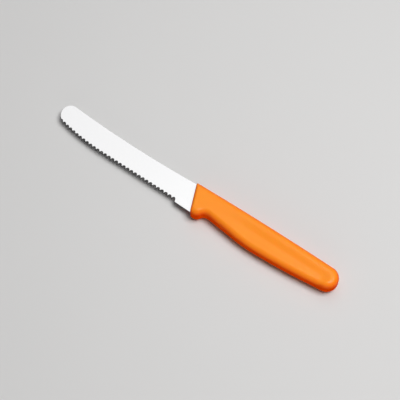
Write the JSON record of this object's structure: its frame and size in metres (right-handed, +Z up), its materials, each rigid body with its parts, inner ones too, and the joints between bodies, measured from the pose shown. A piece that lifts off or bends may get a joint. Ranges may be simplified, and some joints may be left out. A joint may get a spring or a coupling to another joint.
{
  "type": "tomato knife",
  "caption": "Small serrated tomato knife with a round-tipped stamped steel blade and a moulded orange plastic handle with a finger recess.",
  "frame": {"origin": "middle of the knife's box, on the surface that the knife lies on", "axes": "+X from the tip to the butt, +Y from the cutting edge to the spine, +Z up out of the blade's plain face"},
  "size_m": [0.2172, 0.0208, 0.012],
  "materials": {
    "blade_steel": "fine ground stainless steel",
    "handle_plastic": "orange moulded plastic, satin, taken to be polypropylene"
  },
  "bodies": {
    "root": {"blade": "blade_steel", "handle": "handle_plastic"}
  },
  "joints": []
}
